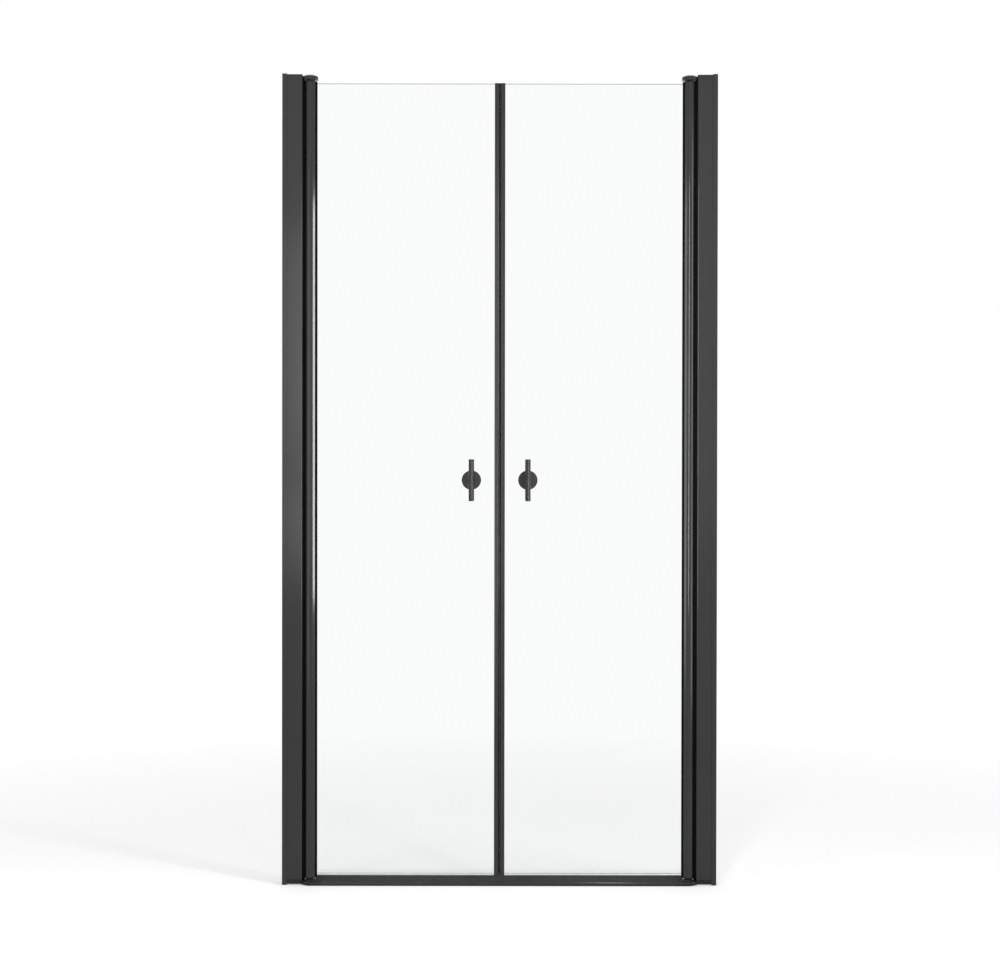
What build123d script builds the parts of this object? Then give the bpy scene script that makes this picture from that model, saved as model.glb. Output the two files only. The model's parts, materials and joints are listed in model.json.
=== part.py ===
from build123d import *
import os
from math import hypot, radians, tan

# Pivot shower door with two framed glass leaves that swing both ways, sizes in millimetres.
# The origin is on the floor midway between the walls, X runs across, Y into the shower, Z up.
# Every piece is drawn for the right-hand side, and the left-hand side is its mirror image.

# Overall size
opening_width = 992.0
door_height = 1850.0

# Wall channel, a U section that is screwed to the wall
channel_depth = 30.0
channel_wall = 1.6
channel_edge_radius = 0.5
front_flange = 11.0
rear_flange = 33.0
wall_hole_diameter = 5.5
wall_hole_inset = 100.0
wall_hole_count = 4
clamp_inset = 200.0
clamp_count = 3
clamp_slot_length = 14.0

# Frame profile that slides in the wall channel
slide_clearance = 0.4
adjustment_gap = 4.4
frame_width = 40.0
frame_wall = 1.6
frame_edge_radius = 3.0
frame_rib = 1.4
port_outer_radius = 3.4
inner_port_inset = 10.0
outer_port_inset = 6.2
seal_slot_mouth = 4.0
seal_slot_width = 6.8
seal_slot_depth = 2.6
seal_slot_wall = 1.4

# Screws
clamp_screw_diameter = 4.2
clamp_screw_length = 12.0
clamp_head_diameter = 8.0
clamp_head_height = 2.6
clamp_head_chamfer = 0.9
bracket_screw_diameter = 3.9
bracket_screw_length = 25.0
bracket_head_diameter = 7.4
bracket_head_height = 2.2
recess_width = 1.2
recess_length = 4.2
recess_depth = 1.3

# Brackets that close the frame ends and carry the pivots
bracket_height = 12.0
top_recess = 1.0
foot_drop = 1.8
bracket_chamfer = 1.0
seam_chamfer = 0.4
lug_length = 11.0
lug_clearance = 0.2
top_disc_margin = 1.0
top_disc_drop = 1.2
top_disc_bevel_width = 6.0
top_disc_bevel_height = 3.2

# Pivot pins and their bearings
pin_diameter = 6.0
pin_seat_depth = 9.0
pin_engagement = 12.0
pin_chamfer = 0.6
pin_head_diameter = 10.0
pin_head_height = 2.2
pin_clearance = 0.05
washer_diameter = 18.0
washer_thickness = 2.0
washer_gap = 0.1
plug_flange = 2.0
plug_inset = 0.6
plug_length = 16.0
plug_clearance = 0.1
lift_gap = 1.4

# Pivot post, the hinge-side extrusion of each leaf
pivot_gap = 4.4
tube_radius = 12.2
tube_wall = 1.5
web_offset = 4.2
post_web = 1.4
jaw_length = 12.2
jaw_face = 10.3
jaw_slope_start = 7.2
jaw_slope_angle = 27.0
jaw_end_radius = 1.3
jaw_groove_offset = 5.4
jaw_groove_width = 1.0
jaw_groove_depth = 1.0

# Seals
seal_gap = 0.3
seal_body_width = 8.0
seal_fit = 0.15
gasket_wall = 1.8
gasket_floor = 1.0
gasket_lip_length = 4.2
gasket_lip_proud = 0.7
gasket_end_gap = 0.3

# Glass leaf
glass_thickness = 6.0
glass_top_drop = 7.5
glass_arris = 0.6

# Closing stile and its magnetic seal
leaf_gap = 0.1
magnet_nose = 1.8
magnet_nose_width = 6.0
magnet_nose_radius = 0.5
magnet_body_width = 7.2
magnet_body_depth = 2.4
magnet_lip = 0.8
stile_depth = 12.0
stile_web = 1.2
stile_arm_length = 5.3
stile_arm_wall = 1.2
stile_front_flat = 4.8
stile_corner_radius = 2.4
stile_top_rise = 1.0
stile_floor_gap = 0.9

# Bottom seal of clear plastic
bottom_seal_gap = 0.6
fin_length = 1.6
fin_thickness = 1.2
clip_floor = 1.5
clip_arm_wall = 1.1
clip_arm_height = 9.0
seal_end_gap = 0.3

# Threshold bar, whose lip, groove and ramp also run round each foot
threshold_depth = 48.0
threshold_height = 20.3
threshold_crest = 10.0
threshold_lip_height = 9.0
threshold_lip_radius = 4.0
threshold_groove_width = 1.0
threshold_groove_depth = 1.2
threshold_wall = 1.5
tape_thickness = 1.2
tape_width = 42.0
tape_clearance = 0.2
cope_clearance = 0.4
cap_cut_back = 28.0
cap_spigot = 12.0
cap_fit = 0.15

# Handles, one T bar on each face of each leaf
handle_height = 925.0
handle_from_centre = 64.5
rosette_diameter = 44.0
rosette_thickness = 8.0
rosette_bevel = 1.6
nylon_washer_diameter = 36.0
nylon_washer_thickness = 1.0
sleeve_clearance = 0.1
stud_diameter = 6.0
stud_engagement = 12.0
glass_hole_diameter = 12.0
stem_diameter = 11.0
stem_length = 30.0
spigot_length = 4.0
bar_diameter = 11.6
bar_length = 95.0
bar_chamfer = 0.6

# Places worked out from the sizes above, right-hand side
wall_x = opening_width / 2
frame_depth = channel_depth - 2 * (channel_wall + slide_clearance)
frame_outer_x = wall_x - channel_wall - adjustment_gap
frame_inner_x = frame_outer_x - frame_width
inner_port_x = frame_inner_x + inner_port_inset
outer_port_x = frame_outer_x - outer_port_inset
clamp_x = (inner_port_x + outer_port_x) / 2
axis_x = frame_inner_x - pivot_gap - tube_radius
frame_bottom = bracket_height
frame_top = door_height - top_recess - bracket_height
bracket_top = frame_top + bracket_height
glass_half = glass_thickness / 2
slot_half = glass_half + gasket_wall
gasket_offset = web_offset + post_web
glass_offset = gasket_offset + gasket_floor
gasket_reach = jaw_length + gasket_lip_length
gasket_lip_half = slot_half + gasket_lip_proud
sweep_radius = hypot(gasket_reach, gasket_lip_half)
top_disc_radius = sweep_radius + top_disc_margin
disc_top = bracket_top - top_disc_drop
foot_radius = threshold_depth / 2
pin_radius = pin_diameter / 2
washer_top = bracket_height + washer_thickness
plug_bottom = washer_top + washer_gap
post_bottom = plug_bottom + plug_flange
plug_top = frame_top - lift_gap
post_top = plug_top - plug_flange
glass_top = frame_top - glass_top_drop
fin_bottom = threshold_height + bottom_seal_gap
clip_bottom = fin_bottom + fin_length
glass_bottom = clip_bottom + clip_floor
nose_x = leaf_gap / 2
stile_x = nose_x + magnet_nose
pocket_x = stile_x + magnet_lip
stile_slot_x = pocket_x + magnet_body_depth + stile_web
stile_half = stile_depth / 2
glass_free_x = stile_slot_x
glass_hinge_x = axis_x - glass_offset
shoulder_x = stile_x + stile_front_flat
arm_end_x = shoulder_x + stile_arm_length
stile_bottom = threshold_height + stile_floor_gap
stile_top = glass_top + stile_top_rise
cap_end_x = axis_x - cap_cut_back
rosette_back = glass_half + nylon_washer_thickness
rosette_face = rosette_back + rosette_thickness
bar_y = rosette_face + stem_length


def spread(low, high, count):
    """Evenly spaced heights from low to high."""
    step = (high - low) / (count - 1)
    return [low + step * index for index in range(count)]


def upright(section, low, high):
    """Extrudes a plan section between two heights."""
    return extrude(Pos(0, 0, low) * section, amount=high - low)


def lengthwise(section, start, end):
    """Extrudes a YZ section along X between two places."""
    return extrude(Pos(start, 0, 0) * (Plane.YZ * section), amount=end - start)


def box_between(low, high):
    """A block from its low corner to its high corner."""
    size = [b - a for a, b in zip(low, high)]
    middle = [(a + b) / 2 for a, b in zip(low, high)]
    return Pos(*middle) * Box(*size)


def rectangle_between(low, high):
    """A plan rectangle from its low corner to its high corner."""
    middle = [(a + b) / 2 for a, b in zip(low, high)]
    return Pos(*middle) * Rectangle(high[0] - low[0], high[1] - low[1])


def round_corners(face, radius, corners):
    """Rounds the corners of a flat face that lie nearest the given points."""
    chosen = [face.vertices().sort_by_distance((*corner, 0))[0] for corner in corners]
    return fillet(chosen, radius)


def across(x, z, radius, start, end):
    """A round rod along Y."""
    return Pos(x, (start + end) / 2, z) * Rot(90, 0, 0) * Cylinder(radius, end - start)


def standing(x, radius, low, high):
    """A round rod along Z in the plane of the glass."""
    return Pos(x, 0, (low + high) / 2) * Cylinder(radius, high - low)


def wall_holes():
    return spread(wall_hole_inset, door_height - wall_hole_inset, wall_hole_count)


def clamp_heights():
    return spread(clamp_inset, door_height - clamp_inset, clamp_count)


def wall_channel():
    half = channel_depth / 2
    inner = half - channel_wall
    outline = rectangle_between((wall_x - channel_wall, -half), (wall_x, half))
    outline += rectangle_between((wall_x - front_flange, -half), (wall_x, -inner))
    outline += rectangle_between((wall_x - rear_flange, inner), (wall_x, half))
    corners = [(wall_x, -half), (wall_x, half)]
    corners += [(wall_x - front_flange, -half), (wall_x - rear_flange, half)]
    outline = round_corners(outline, channel_edge_radius, corners)
    channel = upright(outline, 0, door_height)
    for height in wall_holes():
        hole = Cylinder(wall_hole_diameter / 2, channel_wall * 3)
        channel -= Pos(wall_x - channel_wall / 2, 0, height) * Rot(0, 90, 0) * hole
    slot = SlotOverall(clamp_slot_length, clamp_screw_diameter + 2 * slide_clearance)
    for height in clamp_heights():
        cutter = extrude(Plane.XZ * slot, amount=channel_wall, both=True)
        channel -= Pos(clamp_x, half, height) * cutter
    return channel


def frame_section():
    """Hollow box with two screw ports on ribs and a keyed slot for the pivot seal."""
    half = frame_depth / 2
    outer = rectangle_between((frame_inner_x, -half), (frame_outer_x, half))
    corners = [(frame_inner_x, -half), (frame_inner_x, half)]
    outer = round_corners(outer, frame_edge_radius, corners)
    hollow = rectangle_between(
        (frame_inner_x + frame_wall, -half + frame_wall),
        (frame_outer_x - frame_wall, half - frame_wall),
    )
    section = outer - hollow
    pocket_half = seal_slot_width / 2
    pocket_back = frame_inner_x + frame_wall + seal_slot_depth
    section += rectangle_between(
        (frame_inner_x, -pocket_half - seal_slot_wall),
        (pocket_back + seal_slot_wall, pocket_half + seal_slot_wall),
    )
    section -= rectangle_between((frame_inner_x + frame_wall, -pocket_half), (pocket_back, pocket_half))
    mouth_half = seal_slot_mouth / 2
    section -= rectangle_between((frame_inner_x - frame_wall, -mouth_half), (pocket_back, mouth_half))
    for port_x in (inner_port_x, outer_port_x):
        rib_half = frame_rib / 2
        rib_reach = half - frame_wall / 2
        section += rectangle_between((port_x - rib_half, -rib_reach), (port_x + rib_half, rib_reach))
        section += Pos(port_x, 0) * Circle(port_outer_radius)
        section -= Pos(port_x, 0) * Circle(bracket_screw_diameter / 2)
    return section


def frame_profile():
    profile = upright(frame_section(), frame_bottom, frame_top)
    face = frame_depth / 2
    for height in clamp_heights():
        span = (face - 2 * frame_wall, face + frame_wall)
        profile -= across(clamp_x, height, clamp_screw_diameter / 2, *span)
    return profile


def bracket_plate(low, high, outer_end):
    """The part of a bracket that closes the frame's end, with both its rims chamfered."""
    half = frame_depth / 2
    outline = rectangle_between((frame_inner_x, -half), (frame_outer_x, half))
    corners = [(frame_inner_x, -half), (frame_inner_x, half)]
    plate = upright(round_corners(outline, frame_edge_radius, corners), low, high)
    plate = chamfer(plate.faces().sort_by(Axis.Z)[outer_end].edges(), bracket_chamfer)
    return chamfer(plate.faces().sort_by(Axis.Z)[-1 - outer_end].edges(), seam_chamfer)


def bracket_lug(low, high):
    """A tongue that centres the bracket between the ribs of the frame profile."""
    side = frame_depth / 2 - frame_wall - lug_clearance
    start = inner_port_x + port_outer_radius + lug_clearance
    end = outer_port_x - port_outer_radius - lug_clearance
    return box_between((start, -side, low), (end, side, high))


def countersinks(face_height, inward):
    """Seats for the two bracket screws, sunk from the outer face of a bracket."""
    cutters = Part()
    span = sorted((face_height, face_height + bracket_height * inward))
    for port_x in (inner_port_x, outer_port_x):
        cutters += standing(port_x, bracket_screw_diameter / 2, *span)
        cutters += screw_head(port_x, face_height, inward)
    return cutters


def screw_head(port_x, face_height, inward):
    """A countersunk head whose flat lies flush with the bracket's outer face."""
    radii = [bracket_head_diameter / 2, bracket_screw_diameter / 2]
    if inward < 0:
        radii.reverse()
    middle = face_height + inward * bracket_head_height / 2
    return Pos(port_x, 0, middle) * Cone(*radii, bracket_head_height)


def turned(section):
    """A solid turned about the pivot axis from half a section, with X as its radius."""
    return Pos(axis_x, 0, 0) * revolve(Plane.XZ * section, Axis.Z)


def bevelled_disc():
    """Round cap of the top bracket with a bevel that is wider than it is high."""
    rim = top_disc_radius
    shoulder = disc_top - top_disc_bevel_height
    flat = rim - top_disc_bevel_width
    points = [(0, frame_top), (rim, frame_top), (rim, shoulder), (flat, disc_top), (0, disc_top)]
    return turned(make_face(Polyline(*points, close=True)))


def top_bracket():
    bracket = bracket_plate(frame_top, bracket_top, -1) + bevelled_disc()
    bracket += bracket_lug(frame_top - lug_length, frame_top)
    bracket -= countersinks(bracket_top, -1)
    bracket -= standing(axis_x, pin_radius, frame_top, disc_top)
    return bracket - standing(axis_x, pin_head_diameter / 2, disc_top - pin_head_height, disc_top)


def round_foot():
    """The threshold's lip, groove and ramp turned about the pivot, up to the bracket's top."""
    section = threshold_outline() - threshold_grooves()
    section &= rectangle_between((0, 0), (foot_radius, bracket_height))
    return turned(section) - slope_under_foot()


def bottom_bracket():
    bracket = bracket_plate(foot_drop, bracket_height, 0) + round_foot()
    bracket += bracket_lug(bracket_height, bracket_height + lug_length)
    bracket -= countersinks(foot_drop, 1)
    seat_floor = bracket_height - pin_seat_depth
    return bracket - standing(axis_x, pin_radius, seat_floor, bracket_height)


def slope_under_foot():
    """Wedge that lifts the foot's underside from the floor to the frame's plate."""
    end = axis_x + foot_radius
    points = [(axis_x, 0), (end, 0), (end, foot_drop), (frame_inner_x, foot_drop)]
    wedge = make_face(Polyline(*[(x, 0, z) for x, z in points], close=True))
    return extrude(wedge, amount=threshold_depth, both=True)


def bracket_screws():
    """Four countersunk screws, two up into the frame profile and two down into it."""
    screws = Part()
    for face_height, inward in ((foot_drop, 1), (bracket_top, -1)):
        for port_x in (inner_port_x, outer_port_x):
            tip = face_height + inward * bracket_screw_length
            screw = standing(port_x, bracket_screw_diameter / 2, *sorted((face_height, tip)))
            screw += screw_head(port_x, face_height, inward)
            for length, width in ((recess_length, recess_width), (recess_width, recess_length)):
                screw -= Pos(port_x, 0, face_height) * Box(length, width, 2 * recess_depth)
            screws += screw
    return screws


def clamp_screws():
    """Three pan head screws that lock the frame profile in the wall channel."""
    screws = Part()
    face = channel_depth / 2
    for height in clamp_heights():
        screw = across(clamp_x, height, clamp_screw_diameter / 2, face - clamp_screw_length, face)
        head = across(clamp_x, height, clamp_head_diameter / 2, face, face + clamp_head_height)
        head = chamfer(head.edges().sort_by(Axis.Y)[-1], clamp_head_chamfer)
        screw += head
        for length, width in ((recess_length, recess_width), (recess_width, recess_length)):
            screw -= Pos(clamp_x, face + clamp_head_height, height) * Box(length, 2 * recess_depth, width)
        screws += screw
    return screws


def bottom_pivot_pin():
    pin = standing(axis_x, pin_radius, bracket_height - pin_seat_depth, plug_bottom + pin_engagement)
    return chamfer(pin.edges().sort_by(Axis.Z)[-1], pin_chamfer)


def top_pivot_pin():
    """Shouldered pin with a slotted head, dropped through the top bracket."""
    pin = standing(axis_x, pin_radius, plug_top - pin_engagement, disc_top)
    pin = chamfer(pin.edges().sort_by(Axis.Z)[0], pin_chamfer)
    pin += standing(axis_x, pin_head_diameter / 2, disc_top - pin_head_height, disc_top)
    return pin - Pos(axis_x, 0, disc_top) * Box(pin_head_diameter, recess_width, 2 * recess_depth)


def thrust_washer():
    ring = standing(axis_x, washer_diameter / 2, bracket_height, washer_top)
    return ring - standing(axis_x, pin_radius + pin_clearance, bracket_height, washer_top)


def pivot_seal():
    """Keyed rubber strip with a hollow face that follows the pivot post."""
    foot_half = seal_slot_width / 2 - seal_fit
    neck_half = seal_slot_mouth / 2 - seal_fit
    foot_front = frame_inner_x + frame_wall + seal_fit
    foot_back = frame_inner_x + frame_wall + seal_slot_depth - seal_fit
    section = rectangle_between((foot_front, -foot_half), (foot_back, foot_half))
    section += rectangle_between((frame_inner_x - seal_fit, -neck_half), (foot_front, neck_half))
    body_half = seal_body_width / 2
    section += rectangle_between((axis_x, -body_half), (frame_inner_x, body_half))
    section -= Pos(axis_x, 0) * Circle(tube_radius + seal_gap)
    return upright(section, frame_bottom, frame_top)


def post_hollow(clearance):
    """D-shaped bore of the pivot post, drawn about the pivot axis."""
    bore = Circle(tube_radius - tube_wall - clearance)
    flat = web_offset - clearance
    return bore & rectangle_between((-flat, -tube_radius), (tube_radius, tube_radius))


def pivot_post():
    """Tube that turns on the pins, with two sloping jaws that grip the glass."""
    jaw_end = jaw_face - (jaw_length - jaw_slope_start) * tan(radians(jaw_slope_angle))
    side = [(0, jaw_face), (-jaw_slope_start, jaw_face), (-jaw_length, jaw_end)]
    points = side + [(x, -y) for x, y in reversed(side)]
    jaws = make_face(Polyline(*points, close=True))
    jaws = round_corners(jaws, jaw_end_radius, [(-jaw_length, jaw_end), (-jaw_length, -jaw_end)])
    outline = Circle(tube_radius) + jaws
    groove_start = jaw_groove_offset + jaw_groove_width / 2
    for face, depth in ((jaw_face, -jaw_groove_depth), (-jaw_face, jaw_groove_depth)):
        low, high = sorted((face + depth, face - depth))
        outline -= rectangle_between((-groove_start, low), (jaw_groove_width - groove_start, high))
    outline -= rectangle_between((-2 * jaw_length, -slot_half), (-gasket_offset, slot_half))
    outline -= post_hollow(0)
    return upright(Pos(axis_x, 0) * outline, post_bottom, post_top)


def post_plug(low, flange_low, bore_low, bore_high):
    """Nylon bush with a D-shaped shank in the post and a flange over its end."""
    shank = upright(Pos(axis_x, 0) * post_hollow(plug_clearance), low, low + plug_length)
    half = slot_half + gasket_lip_proud
    flange = Circle(tube_radius - plug_inset)
    flange += rectangle_between((plug_inset - jaw_length, -half), (0, half))
    plug = shank + upright(Pos(axis_x, 0) * flange, flange_low, flange_low + plug_flange)
    return plug - standing(axis_x, pin_radius + pin_clearance, bore_low, bore_high)


def bottom_post_plug():
    bore_high = plug_bottom + pin_engagement + pin_radius
    return post_plug(post_bottom, plug_bottom, plug_bottom, bore_high)


def top_post_plug():
    bore_low = plug_top - pin_engagement - pin_radius
    return post_plug(post_top - plug_length, post_top, bore_low, plug_top)


def glass():
    """Toughened pane with ground arrises and one hole for the handle."""
    pane = box_between((glass_free_x, -glass_half, glass_bottom), (glass_hinge_x, glass_half, glass_top))
    pane = chamfer(pane.edges().filter_by(Axis.X), glass_arris)
    hole = across(handle_from_centre, handle_height, glass_hole_diameter / 2, -glass_half, glass_half)
    return pane - hole


def glazing_gasket():
    """U strip between the pane and the post, with lips that cover the ends of the jaws."""
    outline = rectangle_between((-gasket_reach, -slot_half), (-gasket_offset, slot_half))
    lips = rectangle_between((-gasket_reach, -gasket_lip_half), (-jaw_length, gasket_lip_half))
    corners = [(-gasket_reach, -gasket_lip_half), (-gasket_reach, gasket_lip_half)]
    outline += round_corners(lips, gasket_lip_proud, corners)
    outline -= rectangle_between((-gasket_reach, -glass_half), (-glass_offset, glass_half))
    low = post_bottom + gasket_end_gap
    return upright(Pos(axis_x, 0) * outline, low, post_top - gasket_end_gap)


def closing_stile():
    """Slim profile on the free edge, with a pocket for the magnetic seal."""
    arm_half = glass_half + stile_arm_wall
    side = [(stile_x, stile_half), (shoulder_x, stile_half), (arm_end_x, arm_half)]
    points = side + [(x, -y) for x, y in reversed(side)]
    outline = make_face(Polyline(*points, close=True))
    corners = [(stile_x, -stile_half), (stile_x, stile_half)]
    outline = round_corners(outline, stile_corner_radius, corners)
    outline -= rectangle_between((stile_slot_x, -glass_half), (arm_end_x, glass_half))
    pocket_half = magnet_body_width / 2
    pocket_back = pocket_x + magnet_body_depth
    outline -= rectangle_between((pocket_x, -pocket_half), (pocket_back, pocket_half))
    mouth_half = magnet_nose_width / 2
    outline -= rectangle_between((stile_x - magnet_lip, -mouth_half), (pocket_x, mouth_half))
    return upright(outline, stile_bottom, stile_top)


def magnetic_seal():
    """Flexible magnet strip, keyed into the stile, whose nose meets the other leaf's."""
    body_half = magnet_body_width / 2 - seal_fit
    nose_half = magnet_nose_width / 2 - seal_fit
    body_back = pocket_x + magnet_body_depth - seal_fit
    section = rectangle_between((pocket_x + seal_fit, -body_half), (body_back, body_half))
    nose = rectangle_between((nose_x, -nose_half), (pocket_x + seal_fit, nose_half))
    corners = [(nose_x, -nose_half), (nose_x, nose_half)]
    section += round_corners(nose, magnet_nose_radius, corners)
    return upright(section, stile_bottom, stile_top)


def bottom_seal():
    """Clip-on strip that hugs both faces of the glass, with a fin over the threshold."""
    arm_half = glass_half + clip_arm_wall
    section = rectangle_between((-arm_half, clip_bottom), (arm_half, glass_bottom + clip_arm_height))
    section -= rectangle_between((-glass_half, glass_bottom), (glass_half, glass_top))
    section += rectangle_between((-fin_thickness / 2, fin_bottom), (fin_thickness / 2, clip_bottom))
    start = arm_end_x + seal_end_gap
    return lengthwise(section, start, axis_x - gasket_reach - seal_end_gap)


def threshold_outline():
    """Half-round lips, a groove behind each, and ramps up to a narrow crest."""
    half = threshold_depth / 2
    lip_back = half - threshold_lip_radius
    ramp_foot = lip_back - threshold_groove_width
    crest_half = threshold_crest / 2
    side = [(half, 0), (half, threshold_lip_height), (ramp_foot, threshold_lip_height)]
    side.append((crest_half, threshold_height))
    points = side + [(-y, z) for y, z in reversed(side)]
    outline = make_face(Polyline(*points, close=True))
    corners = [(half, threshold_lip_height), (-half, threshold_lip_height)]
    return round_corners(outline, threshold_lip_radius, corners)


def threshold_grooves():
    half = threshold_depth / 2 - threshold_lip_radius
    low = threshold_lip_height - threshold_groove_depth
    right = rectangle_between((half - threshold_groove_width, low), (half, threshold_lip_height))
    return right + mirror(right, about=Plane.YZ)


def threshold_cavity(clearance):
    """Hollow inside the threshold bar, or a spigot that fits it with a clearance."""
    inset = threshold_wall + clearance
    low = tape_thickness + inset
    half = threshold_depth / 2 - inset
    lip_back = threshold_depth / 2 - threshold_lip_radius
    ledge = threshold_lip_height - threshold_groove_depth - inset
    ramp_foot = lip_back - threshold_groove_width
    crest_half = threshold_crest / 2
    slope = (threshold_height - threshold_lip_height) / (ramp_foot - crest_half)
    drop = inset * hypot(1, slope)
    shoulder = ramp_foot - inset
    shoulder_height = threshold_height - slope * (shoulder - crest_half) - drop
    ceiling = threshold_height - inset
    side = [(half, low), (half, ledge), (shoulder, ledge), (shoulder, shoulder_height)]
    side.append((crest_half - (drop - inset) / slope, ceiling))
    points = side + [(-y, z) for y, z in reversed(side)]
    return make_face(Polyline(*points, close=True))


def tape_recess():
    half = tape_width / 2 + tape_clearance
    return rectangle_between((-half, 0), (half, tape_thickness))


def threshold_bar():
    section = threshold_outline() - threshold_grooves() - threshold_cavity(0) - tape_recess()
    return lengthwise(section, -cap_end_x, cap_end_x)


def threshold_end_cap():
    """Moulded end that follows the round foot and plugs into the bar."""
    section = threshold_outline() - threshold_grooves()
    cap = lengthwise(section, cap_end_x, axis_x)
    cap -= standing(axis_x, foot_radius + cope_clearance, 0, threshold_height)
    return cap + lengthwise(threshold_cavity(cap_fit), cap_end_x - cap_spigot, cap_end_x)


def threshold_tape():
    half = tape_width / 2
    section = rectangle_between((-half, 0), (half, tape_thickness))
    end = cap_end_x
    return lengthwise(section, -end, end)


def on_handle(radius, start, end):
    """A round rod on the handle's line, from start to end in front of the glass."""
    return across(handle_from_centre, handle_height, radius, -end, -start)


def rosette():
    """Turned cover plate, bevelled round its face and bored for the stud."""
    plate = on_handle(rosette_diameter / 2, rosette_back, rosette_face)
    plate = chamfer(plate.edges().sort_by(Axis.Y)[0], rosette_bevel)
    return plate - on_handle(stud_diameter / 2, rosette_back, rosette_face)


def handle_stem():
    """Post between rosette and bar, saddled to the bar and tapped for the stud."""
    stem = on_handle(stem_diameter / 2, rosette_face, bar_y)
    stem -= Pos(handle_from_centre, -bar_y, handle_height) * Cylinder(bar_diameter / 2, bar_length)
    stem -= on_handle(stud_diameter / 2, rosette_face, rosette_face + stud_engagement)
    spigot_start = bar_y - bar_diameter / 2 - stud_diameter / 2
    return stem + on_handle(stud_diameter / 2, spigot_start, bar_y - bar_diameter / 2 + spigot_length)


def handle_bar():
    bar = Cylinder(bar_diameter / 2, bar_length)
    bar = chamfer(bar.edges().filter_by(GeomType.CIRCLE), bar_chamfer)
    bar = Pos(handle_from_centre, -bar_y, handle_height) * bar
    return bar - on_handle(stud_diameter / 2, rosette_face, bar_y - bar_diameter / 2 + spigot_length)


def handle_stud():
    reach = rosette_face + stud_engagement
    return on_handle(stud_diameter / 2, -reach, reach)


def handle_washer():
    """Flanged nylon washer, half of its sleeve length in the glass hole."""
    washer = on_handle(nylon_washer_diameter / 2, glass_half, rosette_back)
    washer += on_handle(glass_hole_diameter / 2 - sleeve_clearance, sleeve_clearance, glass_half)
    return washer - on_handle(stud_diameter / 2, 0, rosette_back)


def both_faces(shape):
    """The shape and its mirror image on the shower side of the glass."""
    return shape + mirror(shape, about=Plane.XZ)


def inner_face(shape):
    return mirror(shape, about=Plane.XZ)


def side_pieces():
    """Every piece of the right-hand side, by name."""
    return {
        "wall_channel": wall_channel(),
        "frame_profile": frame_profile(),
        "top_bracket": top_bracket(),
        "bottom_bracket": bottom_bracket(),
        "bracket_screws": bracket_screws(),
        "clamp_screws": clamp_screws(),
        "top_pivot_pin": top_pivot_pin(),
        "bottom_pivot_pin": bottom_pivot_pin(),
        "thrust_washer": thrust_washer(),
        "pivot_seal": pivot_seal(),
        "pivot_post": pivot_post(),
        "top_post_plug": top_post_plug(),
        "bottom_post_plug": bottom_post_plug(),
        "glass": glass(),
        "glazing_gasket": glazing_gasket(),
        "closing_stile": closing_stile(),
        "magnetic_seal": magnetic_seal(),
        "bottom_seal": bottom_seal(),
        "outer_rosette": rosette(),
        "outer_handle_stem": handle_stem(),
        "outer_handle_bar": handle_bar(),
        "inner_rosette": inner_face(rosette()),
        "inner_handle_stem": inner_face(handle_stem()),
        "inner_handle_bar": inner_face(handle_bar()),
        "handle_stud": handle_stud(),
        "handle_washers": both_faces(handle_washer()),
    }


def middle_pieces():
    """The pieces that both sides share."""
    cap = threshold_end_cap()
    return {
        "threshold_bar": threshold_bar(),
        "threshold_end_caps": cap + mirror(cap, about=Plane.YZ),
        "threshold_tape": threshold_tape(),
    }


os.makedirs("parts", exist_ok=True)
for name, shape in side_pieces().items():
    export_step(shape, f"parts/right_{name}.step")
    export_step(mirror(shape, about=Plane.YZ), f"parts/left_{name}.step")
for name, shape in middle_pieces().items():
    export_step(shape, f"parts/{name}.step")
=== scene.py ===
import json
import math
import bmesh
import bpy
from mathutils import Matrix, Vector


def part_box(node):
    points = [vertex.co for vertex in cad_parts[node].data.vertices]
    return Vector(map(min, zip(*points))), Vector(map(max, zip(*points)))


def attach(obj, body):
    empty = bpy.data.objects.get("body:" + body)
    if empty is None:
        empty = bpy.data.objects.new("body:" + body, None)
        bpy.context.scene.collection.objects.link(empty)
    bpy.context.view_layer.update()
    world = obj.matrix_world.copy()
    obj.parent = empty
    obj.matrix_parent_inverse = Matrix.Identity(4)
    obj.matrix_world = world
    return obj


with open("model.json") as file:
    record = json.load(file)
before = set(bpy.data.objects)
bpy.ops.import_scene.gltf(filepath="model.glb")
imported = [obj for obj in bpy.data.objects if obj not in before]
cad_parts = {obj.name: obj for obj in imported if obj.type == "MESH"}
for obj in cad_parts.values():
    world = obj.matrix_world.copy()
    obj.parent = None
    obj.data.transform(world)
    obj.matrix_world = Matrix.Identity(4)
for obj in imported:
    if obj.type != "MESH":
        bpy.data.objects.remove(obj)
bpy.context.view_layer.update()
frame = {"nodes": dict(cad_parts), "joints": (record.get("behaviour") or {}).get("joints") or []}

nodes = frame["nodes"]
print("frame loaded with", len(nodes), "pieces")


# small helpers for shader trees

def addNode(tree, kind, inputs=None, **settings):
    node = tree.nodes.new(kind)
    for name, value in settings.items():
        setattr(node, name, value)
    for name, value in (inputs or {}).items():
        if isinstance(value, bpy.types.NodeSocket):
            tree.links.new(value, node.inputs[name])
        else:
            node.inputs[name].default_value = value
    return node


def mathOf(tree, operation, first, second, clamp=False):
    node = addNode(tree, "ShaderNodeMath", {0: first, 1: second}, operation=operation, use_clamp=clamp)
    return node.outputs[0]


def vectorMathOf(tree, operation, first, second):
    return addNode(tree, "ShaderNodeVectorMath", {0: first, 1: second}, operation=operation).outputs


def remap(tree, value, fromLow, fromHigh, toLow, toHigh):
    inputs = {"Value": value, "From Min": fromLow, "From Max": fromHigh, "To Min": toLow, "To Max": toHigh}
    return addNode(tree, "ShaderNodeMapRange", inputs).outputs["Result"]


def mixColour(tree, factor, first, second):
    return addNode(tree, "ShaderNodeMix", {0: factor, 6: first, 7: second}, data_type="RGBA").outputs[2]


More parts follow.
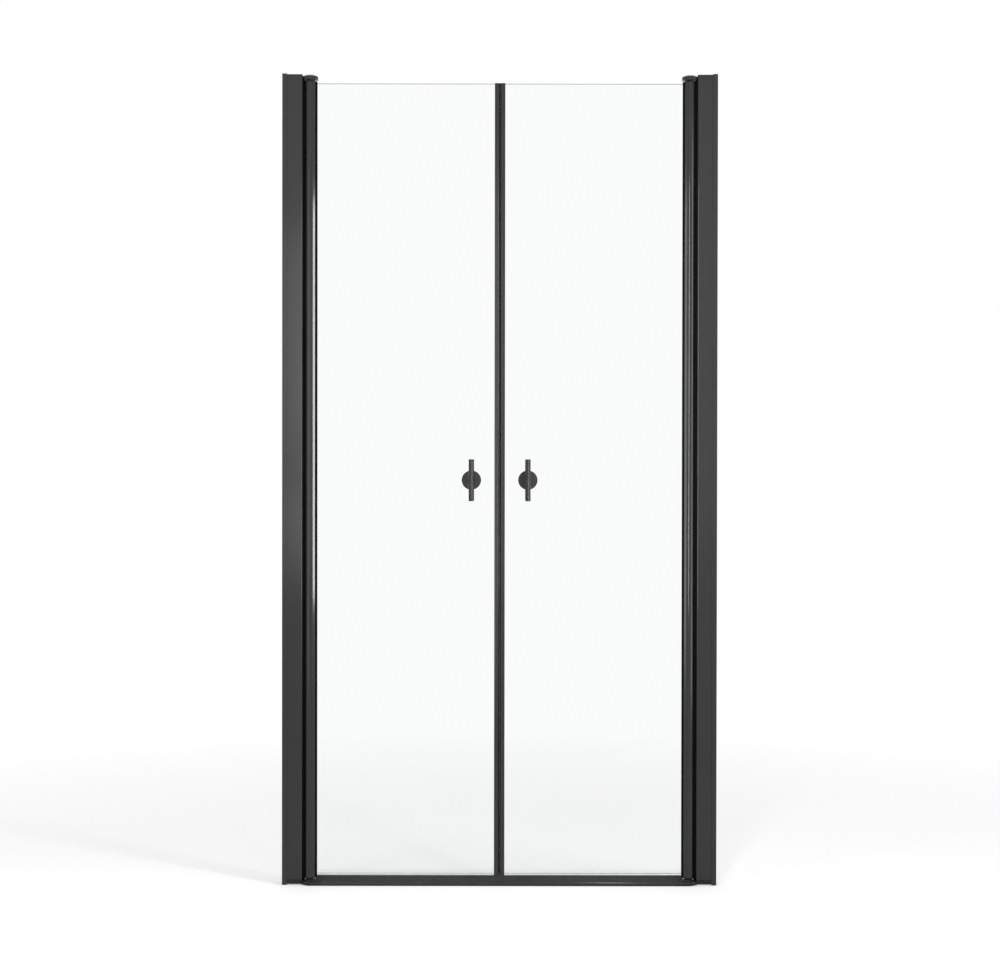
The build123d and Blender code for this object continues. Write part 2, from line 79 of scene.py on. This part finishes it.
def startGroup(name, inputs, outputs):
    tree = bpy.data.node_groups.new(name, "ShaderNodeTree")
    for label, kind, value in inputs:
        tree.interface.new_socket(name=label, in_out="INPUT", socket_type=kind).default_value = value
    for label, kind in outputs:
        tree.interface.new_socket(name=label, in_out="OUTPUT", socket_type=kind)
    return tree, tree.nodes.new("NodeGroupInput").outputs, tree.nodes.new("NodeGroupOutput").inputs


def placeGroup(tree, group, inputs):
    return addNode(tree, "ShaderNodeGroup", inputs, node_tree=group).outputs


def startMaterial(name):
    material = bpy.data.materials.new(name)
    material.use_nodes = True
    tree = material.node_tree
    tree.nodes.clear()
    shader = addNode(tree, "ShaderNodeBsdfPrincipled")
    output = addNode(tree, "ShaderNodeOutputMaterial", {"Surface": shader.outputs[0]})
    return material, tree, shader, output


def setSockets(shader, values):
    for name, value in values.items():
        shader.inputs[name].default_value = value


def grey(level, warmth=0.0):
    return (level * (1 + warmth), level, level * (1 - warmth), 1)


# effects that several finishes share

number, vector = "NodeSocketFloat", "NodeSocketVector"
noiseBand = (0.3, 0.7)  # a noise seldom leaves these values

drawLinesLook = {"lineDetail": 3.0, "lineRoughness": 0.6, "patchFineness": 5.0, "patchDetail": 2.0}


def makeDrawLines(look):
    # die lines that run along an extruded or drawn piece
    inputs = [("Stretch", vector, (1, 1, 0.01)), ("Fineness", number, 900.0)]
    tree, given, result = startGroup("drawLines", inputs, [("Lines", number), ("Patches", number)])
    place = addNode(tree, "ShaderNodeTexCoord").outputs["Object"]
    stretched = vectorMathOf(tree, "MULTIPLY", place, given["Stretch"])["Vector"]
    lines = {
        "Vector": stretched, "Scale": given["Fineness"],
        "Detail": look["lineDetail"], "Roughness": look["lineRoughness"],
    }
    tree.links.new(addNode(tree, "ShaderNodeTexNoise", lines).outputs["Fac"], result["Lines"])
    patches = {"Vector": place, "Scale": look["patchFineness"], "Detail": look["patchDetail"]}
    tree.links.new(addNode(tree, "ShaderNodeTexNoise", patches).outputs["Fac"], result["Patches"])
    return tree


coatGrainLook = {"detail": 2.0, "roughness": 0.5, "speckleCore": 0.1, "speckleRim": 0.7}


def makeCoatGrain(look):
    # the fine orange peel of a sprayed coat or a moulded surface
    inputs = [("Fineness", number, 1500.0)]
    tree, given, result = startGroup("coatGrain", inputs, [("Grain", number), ("Speckle", number)])
    place = addNode(tree, "ShaderNodeTexCoord").outputs["Object"]
    fine = {
        "Vector": place, "Scale": given["Fineness"],
        "Detail": look["detail"], "Roughness": look["roughness"],
    }
    tree.links.new(addNode(tree, "ShaderNodeTexNoise", fine).outputs["Fac"], result["Grain"])
    cells = addNode(tree, "ShaderNodeTexVoronoi", {"Vector": place, "Scale": given["Fineness"]})
    speckle = remap(tree, cells.outputs["Distance"], look["speckleCore"], look["speckleRim"], 1.0, 0.0)
    tree.links.new(speckle, result["Speckle"])
    return tree


softEdgesLook = {
    "samples": 4, "fullWearAt": 0.8, "detail": 2.0, "breakLow": 0.35, "breakHigh": 0.65, "least": 0.2,
}


def makeSoftEdges(look):
    # rounds sharp edges in the shading and marks where they are
    inputs = [("Radius", number, 0.0004), ("Breakup", number, 300.0)]
    tree, given, result = startGroup("softEdges", inputs, [("Normal", vector), ("Wear", number)])
    bevel = addNode(tree, "ShaderNodeBevel", {"Radius": given["Radius"]}, samples=look["samples"])
    rounded = bevel.outputs["Normal"]
    tree.links.new(rounded, result["Normal"])
    flat = addNode(tree, "ShaderNodeNewGeometry").outputs["Normal"]
    agree = vectorMathOf(tree, "DOT_PRODUCT", rounded, flat)["Value"]
    edge = remap(tree, agree, 1.0, look["fullWearAt"], 0.0, 1.0)
    place = addNode(tree, "ShaderNodeTexCoord").outputs["Object"]
    fine = {"Vector": place, "Scale": given["Breakup"], "Detail": look["detail"]}
    noise = addNode(tree, "ShaderNodeTexNoise", fine).outputs["Fac"]
    broken = remap(tree, noise, look["breakLow"], look["breakHigh"], look["least"], 1.0)
    tree.links.new(mathOf(tree, "MULTIPLY", edge, broken, True), result["Wear"])
    return tree


dustAndTopLightLook = {"firstSlope": 0.4, "detail": 4.0, "least": 0.3}


def makeDustAndTopLight(look):
    # a faint dust film on faces that look up, and painted light as well: it makes top faces paler, as if lit
    # from above
    inputs = [("Amount", number, 0.3), ("Fineness", number, 120.0)]
    tree, given, result = startGroup("dustAndTopLight", inputs, [("DustAndLight", number)])
    facing = addNode(tree, "ShaderNodeNewGeometry").outputs["Normal"]
    up = addNode(tree, "ShaderNodeSeparateXYZ", {0: facing}).outputs["Z"]
    level = remap(tree, up, look["firstSlope"], 1.0, 0.0, 1.0)
    place = addNode(tree, "ShaderNodeTexCoord").outputs["Object"]
    fine = {"Vector": place, "Scale": given["Fineness"], "Detail": look["detail"]}
    noise = addNode(tree, "ShaderNodeTexNoise", fine).outputs["Fac"]
    uneven = remap(tree, noise, *noiseBand, look["least"], 1.0)
    dustAndLightMask = mathOf(tree, "MULTIPLY", level, uneven)
    tree.links.new(mathOf(tree, "MULTIPLY", dustAndLightMask, given["Amount"], True), result["DustAndLight"])
    return tree


drawLines, coatGrain = makeDrawLines(drawLinesLook), makeCoatGrain(coatGrainLook)
softEdges, dustAndTopLight = makeSoftEdges(softEdgesLook), makeDustAndTopLight(dustAndTopLightLook)
print("shared effects built")


def spreadRoughness(tree, pattern, roughness, spread):
    return remap(tree, pattern, *noiseBand, roughness - spread, roughness + spread)


# satin black finishes

def makeSatinBlack(name, look):
    material, tree, shader = startMaterial(name)[:3]
    edges = placeGroup(tree, softEdges, {"Radius": look["edgeRadius"]})
    lines = placeGroup(tree, drawLines, {"Stretch": look["stretch"], "Fineness": look["lineFineness"]})
    coat = placeGroup(tree, coatGrain, {"Fineness": look["grainFineness"]})
    # dust on faces that look up, partly painted light: top faces turn paler as if lit from above
    dustAndLight = placeGroup(tree, dustAndTopLight, {"Amount": look["dustAndLight"]})
    tone = mixColour(tree, lines["Patches"], grey(look["darkTone"]), grey(look["paleTone"]))
    worn = mixColour(tree, mathOf(tree, "MULTIPLY", edges["Wear"], look["wear"]), tone, grey(look["wornTone"]))
    dustyAndLit = mixColour(tree, dustAndLight["DustAndLight"], worn, grey(look["dustAndLitTone"], look["dustAndLitWarmth"]))
    tree.links.new(dustyAndLit, shader.inputs["Base Color"])
    shine = spreadRoughness(tree, lines["Patches"], look["roughness"], look["spread"])
    dulled = mathOf(tree, "ADD", shine, mathOf(tree, "MULTIPLY", dustAndLight["DustAndLight"], look["dustRoughness"]))
    tree.links.new(dulled, shader.inputs["Roughness"])
    lineHeight = mathOf(tree, "MULTIPLY", lines["Lines"], look["lineDepth"])
    height = mathOf(tree, "ADD", lineHeight, mathOf(tree, "MULTIPLY", coat["Grain"], look["grainDepth"]))
    bump = {"Height": height, "Distance": 1.0, "Strength": 1.0, "Normal": edges["Normal"]}
    tree.links.new(addNode(tree, "ShaderNodeBump", bump).outputs[0], shader.inputs["Normal"])
    setSockets(shader, {"Specular IOR Level": look["shine"], "Metallic": 0.0})
    return material


aluminiumLook = {
    "darkTone": 0.011, "paleTone": 0.015, "wornTone": 0.05, "wear": 0.5, "roughness": 0.14, "spread": 0.015,
    "shine": 0.42, "stretch": (1, 1, 0.008), "lineFineness": 1200.0, "lineDepth": 1.5e-6,
    "grainFineness": 1800.0, "grainDepth": 1.0e-6, "edgeRadius": 0.0003,
    "dustAndLight": 0.25, "dustAndLitTone": 0.25, "dustAndLitWarmth": 0.03, "dustRoughness": 0.3,
}
acrossLook = dict(aluminiumLook, stretch=(0.008, 1, 1), shine=0.38, dustAndLight=0.06)  # the threshold's
# the brackets get a heavier up-facing film: dust, and painted light that pales their top faces
zincLook = dict(
    aluminiumLook, darkTone=0.01, paleTone=0.014, shine=0.42, stretch=(1, 1, 1), lineFineness=60.0,
    lineDepth=4.0e-6, grainFineness=1400.0, grainDepth=2.5e-6, roughness=0.22, edgeRadius=0.0005,
    wear=0.9, wornTone=0.09, dustAndLight=0.4,
)
# the bottom bracket is the same zinc with darker tones and less shine: painted shade near the floor
shadedFootLook = dict(zincLook, darkTone=0.005, paleTone=0.008, shine=0.28, dustAndLight=0.05)
handleLook = dict(
    aluminiumLook, darkTone=0.013, paleTone=0.018, shine=0.3, stretch=(1, 1, 0.02), lineFineness=2000.0,
    lineDepth=1.0e-6, roughness=0.24, edgeRadius=0.0003, dustAndLight=0.1,
)
plasticLook = dict(
    aluminiumLook, darkTone=0.009, paleTone=0.012, shine=0.32, stretch=(1, 1, 1), lineFineness=40.0,
    lineDepth=1.0e-6, grainFineness=1100.0, grainDepth=3.0e-6, roughness=0.3, spread=0.03, wear=0.2, dustAndLight=0.05,
)


# glass and clear plastic let lamps through, so that they don't throw dark shadows

def letLampsThrough(tree, shader, output, tint):
    seenBy = addNode(tree, "ShaderNodeLightPath").outputs["Is Shadow Ray"]
    clear = addNode(tree, "ShaderNodeBsdfTransparent", {"Color": tint})
    both = addNode(tree, "ShaderNodeMixShader", {0: seenBy, 1: shader.outputs[0], 2: clear.outputs[0]})
    tree.links.new(both.outputs[0], output.inputs["Surface"])


glassLook = {
    "tint": (0.955, 0.965, 0.96, 1), "shadowTint": (0.7, 0.72, 0.71, 1), "roughness": 0.0, "ior": 1.5,
    "waveStretch": (1, 1, 0.3), "waveFineness": 6.0, "waveDepth": 2.0e-6,
    "depthTint": (0.75, 0.9, 0.85, 1), "depthDensity": 3.0,
    "groundTint": (0.04, 0.06, 0.055, 1), "groundRoughness": 0.5, "groundBelow": 0.9, "polishedAbove": 0.95,
}


def makeGlass(look):
    # the pane's large faces are polished, and its edges and arrises are ground
    material, tree, shader, output = startMaterial("toughenedGlass")
    facing = addNode(tree, "ShaderNodeTexCoord").outputs["Normal"]
    across = addNode(tree, "ShaderNodeSeparateXYZ", {0: facing}).outputs["Y"]
    flatness = mathOf(tree, "ABSOLUTE", across, 0.0)
    ground = remap(tree, flatness, look["groundBelow"], look["polishedAbove"], 1.0, 0.0)
    tree.links.new(mixColour(tree, ground, look["tint"], look["groundTint"]), shader.inputs["Base Color"])
    dull = remap(tree, ground, 0.0, 1.0, look["roughness"], look["groundRoughness"])
    tree.links.new(dull, shader.inputs["Roughness"])
    waves = placeGroup(tree, drawLines, {"Stretch": look["waveStretch"], "Fineness": look["waveFineness"]})
    height = mathOf(tree, "MULTIPLY", waves["Lines"], look["waveDepth"])
    bump = addNode(tree, "ShaderNodeBump", {"Height": height, "Distance": 1.0, "Strength": 1.0})
    tree.links.new(bump.outputs[0], shader.inputs["Normal"])
    setSockets(shader, {"IOR": look["ior"], "Transmission Weight": 1.0, "Metallic": 0.0})
    depth = {"Color": look["depthTint"], "Density": look["depthDensity"]}
    tree.links.new(addNode(tree, "ShaderNodeVolumeAbsorption", depth).outputs[0], output.inputs["Volume"])
    letLampsThrough(tree, shader, output, look["shadowTint"])
    return material


clearPlasticLook = {
    "tint": (0.98, 0.99, 0.99, 1), "shadowTint": (0.9, 0.92, 0.92, 1), "ior": 1.46, "alpha": 0.3,
    "roughness": 0.05, "spread": 0.015, "stretch": (0.01, 1, 1), "lineFineness": 700.0, "lineDepth": 6.0e-6,
}


def makeClearPlastic(look):
    material, tree, shader, output = startMaterial("clearPlastic")
    lines = placeGroup(tree, drawLines, {"Stretch": look["stretch"], "Fineness": look["lineFineness"]})
    height = mathOf(tree, "MULTIPLY", lines["Lines"], look["lineDepth"])
    bump = addNode(tree, "ShaderNodeBump", {"Height": height, "Distance": 1.0, "Strength": 1.0})
    tree.links.new(bump.outputs[0], shader.inputs["Normal"])
    milky = spreadRoughness(tree, lines["Patches"], look["roughness"], look["spread"])
    tree.links.new(milky, shader.inputs["Roughness"])
    setSockets(shader, {"Base Color": look["tint"], "IOR": look["ior"], "Alpha": look["alpha"]})
    setSockets(shader, {"Transmission Weight": 1.0, "Metallic": 0.0})
    letLampsThrough(tree, shader, output, look["shadowTint"])
    return material


# soft and plain finishes: a tone, a speckle in it and a grain

def makeGrained(name, look):
    material, tree, shader = startMaterial(name)[:3]
    edges = placeGroup(tree, softEdges, {"Radius": look["edgeRadius"]})
    coat = placeGroup(tree, coatGrain, {"Fineness": look["fineness"]})
    tone = mixColour(tree, coat["Speckle"], look["tone"], look["speckle"])
    tree.links.new(tone, shader.inputs["Base Color"])
    shine = spreadRoughness(tree, coat["Grain"], look["roughness"], look["spread"])
    tree.links.new(shine, shader.inputs["Roughness"])
    height = mathOf(tree, "MULTIPLY", coat["Grain"], look["depth"])
    bump = {"Height": height, "Distance": 1.0, "Strength": 1.0, "Normal": edges["Normal"]}
    tree.links.new(addNode(tree, "ShaderNodeBump", bump).outputs[0], shader.inputs["Normal"])
    setSockets(shader, {"Specular IOR Level": look["shine"], "Metallic": look["metallic"]})
    return material


rubberLook = {
    "tone": grey(0.002), "speckle": grey(0.004), "roughness": 0.6, "spread": 0.08, "shine": 0.06,
    "metallic": 0.0, "fineness": 2200.0, "depth": 8.0e-6, "edgeRadius": 0.0002,
}
magnetLook = dict(rubberLook, tone=grey(0.001), speckle=grey(0.002), shine=0.0, fineness=3000.0)
bearingLook = dict(
    rubberLook, tone=grey(0.006), speckle=grey(0.008), roughness=0.45, shine=0.2, fineness=900.0,
)
nylonLook = dict(
    rubberLook, tone=(0.76, 0.75, 0.7, 1), speckle=(0.8, 0.79, 0.75, 1), roughness=0.4, shine=0.45,
    fineness=900.0,
)
steelLook = dict(
    rubberLook, tone=grey(0.55), speckle=grey(0.62), roughness=0.24, spread=0.06, shine=0.5, metallic=1.0,
    fineness=1600.0, depth=2.0e-6,
)
tapeLook = dict(
    rubberLook, tone=grey(0.55), speckle=grey(0.4), roughness=0.85, fineness=700.0, depth=6.0e-5,
)


# which finish each piece has

blackAluminium = makeSatinBlack("blackAluminium", aluminiumLook)
aluminiumAcross = makeSatinBlack("blackAluminiumAcross", acrossLook)
blackZinc = makeSatinBlack("blackZinc", zincLook)
# a darker copy of the zinc for the bottom bracket, painted shade near the floor
shadedFoot = makeSatinBlack("blackZincShadedFoot", shadedFootLook)
blackHandle = makeSatinBlack("blackHandleMetal", handleLook)
blackPlastic = makeSatinBlack("blackPlastic", plasticLook)
glassFinish = makeGlass(glassLook)
plasticFinish = makeClearPlastic(clearPlasticLook)
blackRubber = makeGrained("blackRubber", rubberLook)
magnetStrip = makeGrained("magnetStrip", magnetLook)
blackNylon = makeGrained("blackNylon", bearingLook)
whiteNylon = makeGrained("whiteNylon", nylonLook)
plainSteel = makeGrained("stainlessSteel", steelLook)
foamTape = makeGrained("foamTape", tapeLook)

finishes = {
    "wall_channel": blackAluminium, "frame_profile": blackAluminium, "pivot_post": blackAluminium,
    "closing_stile": blackAluminium, "threshold_bar": aluminiumAcross,
    "top_bracket": blackZinc, "bottom_bracket": shadedFoot,
    "rosette": blackHandle, "handle_stem": blackHandle, "handle_bar": blackHandle,
    "threshold_end_caps": blackPlastic, "glass": glassFinish, "bottom_seal": plasticFinish,
    "pivot_seal": blackRubber, "glazing_gasket": blackRubber, "magnetic_seal": magnetStrip,
    "thrust_washer": blackNylon, "top_post_plug": blackNylon, "bottom_post_plug": blackNylon,
    "handle_washers": whiteNylon, "bracket_screws": plainSteel, "clamp_screws": plainSteel,
    "top_pivot_pin": plainSteel, "bottom_pivot_pin": plainSteel, "handle_stud": plainSteel,
    "threshold_tape": foamTape,
}


def plainName(name):
    for place in ("left_", "right_", "outer_", "inner_"):
        name = name.removeprefix(place)
    return name


for name, piece in nodes.items():
    piece.data.materials.clear()
    piece.data.materials.append(finishes[plainName(name)])
print("finishes given to", len(nodes), "pieces")


# tongues that carry the threshold's ridge over each foot, almost to the turning gasket

tongueLook = {
    "copeRadius": 0.0244, "endRadius": 0.0184, "halfDepth": 0.0179, "crestHalf": 0.005, "rampSlope": 0.807,
    "lipHeight": 0.0093, "endHeight": 0.0098, "stations": 24,
}
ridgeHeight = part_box("threshold_bar")[1].z
pivotPlaces = {joint["child"]: joint["pos_m"][0] for joint in frame["joints"]}


def tongueStation(look, pivot, y):
    # the four corners of the tongue at one depth, from the cap's cope to the free end
    inward = -math.copysign(1, pivot)
    top = ridgeHeight - max(0, abs(y) - look["crestHalf"]) * look["rampSlope"]
    start = pivot + inward * math.sqrt(look["copeRadius"] ** 2 - y * y)
    end = pivot + inward * math.sqrt(look["endRadius"] ** 2 - y * y)
    return [(start, y, look["lipHeight"]), (start, y, top), (end, y, top), (end, y, look["endHeight"])]


def makeTongue(name, look, pivot):
    count = look["stations"]
    depths = [look["halfDepth"] * (2 * index / count - 1) for index in range(count + 1)]
    depths = sorted(depths + [-look["crestHalf"], look["crestHalf"]])
    corners = [corner for y in depths for corner in tongueStation(look, pivot, y)]
    faces = [(0, 1, 2, 3), tuple(len(corners) - 1 - index for index in range(4))]
    for station in range(len(depths) - 1):
        first = 4 * station
        for edge in range(4):
            after = (edge + 1) % 4
            faces.append((first + edge, first + 4 + edge, first + 4 + after, first + after))
    mesh = bpy.data.meshes.new(name)
    mesh.from_pydata(corners, [], faces)
    solid = bmesh.new()
    solid.from_mesh(mesh)
    bmesh.ops.recalc_face_normals(solid, faces=solid.faces)
    solid.to_mesh(mesh)
    solid.free()
    mesh.materials.append(blackPlastic)
    tongue = bpy.data.objects.new(name, mesh)
    bpy.context.scene.collection.objects.link(tongue)
    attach(tongue, "frame")


for side in ("left", "right"):
    makeTongue(f"{side}_cap_tongue", tongueLook, pivotPlaces[f"{side}_leaf"])
print("threshold tongues built, ridge at", round(ridgeHeight, 5))


# floor and world are plain white to the eye, and keep a soft shadow

floorLook = {
    "size": 60.0, "drop": 0.0005, "tone": 0.8, "seenTone": 0.75, "seenGlow": 0.31,
    "fadeStart": 1.0, "fadeEnd": 2.5, "farGlow": 1.0,
}
worldLook = {"seen": 1.0, "ambient": 0.75}


def seenDirectly(tree):
    path = addNode(tree, "ShaderNodeLightPath").outputs
    direct = mathOf(tree, "MAXIMUM", path["Is Camera Ray"], path["Is Glossy Ray"])
    return mathOf(tree, "MAXIMUM", direct, path["Is Transmission Ray"])


def makeFloor(look):
    half = look["size"] / 2
    mesh = bpy.data.meshes.new("floor")
    corners = [(-half, -half, 0), (half, -half, 0), (half, half, 0), (-half, half, 0)]
    mesh.from_pydata(corners, [], [(0, 1, 2, 3)])
    floor = bpy.data.objects.new("floor", mesh)
    bpy.context.scene.collection.objects.link(floor)
    floor.location.z = -look["drop"]
    material = bpy.data.materials.new("paleFloor")
    material.use_nodes = True
    tree = material.node_tree
    tree.nodes.clear()
    plain = addNode(tree, "ShaderNodeBsdfDiffuse", {"Color": grey(look["tone"])})
    lit = addNode(tree, "ShaderNodeBsdfDiffuse", {"Color": grey(look["seenTone"])})
    glow = addNode(tree, "ShaderNodeEmission", {"Strength": look["seenGlow"]})
    near = addNode(tree, "ShaderNodeAddShader", {0: lit.outputs[0], 1: glow.outputs[0]})
    far = addNode(tree, "ShaderNodeEmission", {"Strength": look["farGlow"]})
    place = addNode(tree, "ShaderNodeTexCoord").outputs["Object"]
    distance = addNode(tree, "ShaderNodeVectorMath", {0: place}, operation="LENGTH").outputs["Value"]
    fade = remap(tree, distance, look["fadeStart"], look["fadeEnd"], 0.0, 1.0)
    seen = addNode(tree, "ShaderNodeMixShader", {0: fade, 1: near.outputs[0], 2: far.outputs[0]})
    direct = seenDirectly(tree)
    both = addNode(tree, "ShaderNodeMixShader", {0: direct, 1: plain.outputs[0], 2: seen.outputs[0]})
    addNode(tree, "ShaderNodeOutputMaterial", {"Surface": both.outputs[0]})
    mesh.materials.append(material)


def makeWorld(look):
    world = bpy.data.worlds.new("studio")
    bpy.context.scene.world = world
    world.use_nodes = True
    tree = world.node_tree
    tree.nodes.clear()
    strength = remap(tree, seenDirectly(tree), 0.0, 1.0, look["ambient"], look["seen"])
    sky = addNode(tree, "ShaderNodeBackground", {"Color": (1, 1, 1, 1), "Strength": strength})
    addNode(tree, "ShaderNodeOutputWorld", {"Surface": sky.outputs[0]})


makeFloor(floorLook)
makeWorld(worldLook)


# softboxes: place, point they face, width, height and brightness, where white is 1

softboxes = {
    "leftWindowTop": ((-0.67, -4.7, 1.5), (-0.67, 0, 1.5), 0.63, 1.04, 3.0),
    "leftWindowFoot": ((-0.67, -4.7, 0.69), (-0.67, 0, 0.69), 0.63, 0.4, 3.0),
    "upperFill": ((0, -4.7, 2.45), (0, 0, 2.45), 2.4, 0.85, 0.4),
    "centreWindow": ((0, -4.7, 1.3), (0, 0, 1.3), 0.6, 1.5, 0.5),
    "rightWindow": ((1.0, -4.7, 1.55), (1.0, 0, 1.55), 0.6, 1.9, 0.4),
    "rightStrip": ((0.317, -0.661, 1.138), (-0.433, 0, 1.138), 0.105, 1.11, 20.0),
    "rightWide": ((1.9, -1.0, 1.1), (-0.43, 0, 1.1), 1.0, 1.8, 2.8),
    "leftStrip": ((-1.817, -1.984, 1.1), (0.433, 0, 1.1), 0.4, 1.8, 3.5),
}


def leavePanesOut():
    # the panes don't mirror the softboxes, only the white around them
    panes = bpy.data.collections.new("panes")
    for side in ("left", "right"):
        panes.objects.link(nodes[f"{side}_glass"])
    for pane in panes.collection_objects:
        pane.light_linking.link_state = "EXCLUDE"
    return panes


def addSoftbox(name, place, target, width, height, glow, receivers):
    lamp = bpy.data.lights.new(name, "AREA")
    lamp.shape = "RECTANGLE"
    lamp.size, lamp.size_y = width, height
    lamp.energy = math.pi * width * height * glow
    softbox = bpy.data.objects.new(name, lamp)
    bpy.context.scene.collection.objects.link(softbox)
    softbox.light_linking.receiver_collection = receivers
    softbox.location = place
    softbox.rotation_euler = (Vector(target) - Vector(place)).to_track_quat("-Z", "Y").to_euler()


receivers = leavePanesOut()
for name, (place, target, width, height, glow) in softboxes.items():
    addSoftbox(name, place, target, width, height, glow, receivers)


# the camera looks at the closed door from a little above its middle, tilted down by half a degree

cameraLook = {
    "place": (0, -4.5, 0.9648), "tiltDegrees": 0.5034, "rollDegrees": -0.0789,
    "lens": 70.83, "sensor": 36.0, "shiftX": 0.00035,
}


def makeCamera(look):
    data = bpy.data.cameras.new("camera")
    data.lens, data.sensor_width, data.shift_x = look["lens"], look["sensor"], look["shiftX"]
    camera = bpy.data.objects.new("camera", data)
    bpy.context.scene.collection.objects.link(camera)
    camera.location = look["place"]
    camera.rotation_euler = (math.radians(90 - look["tiltDegrees"]), math.radians(look["rollDegrees"]), 0)
    bpy.context.scene.camera = camera


makeCamera(cameraLook)
bpy.context.scene.view_settings.view_transform = "Standard"
print("stage, softboxes and camera placed")
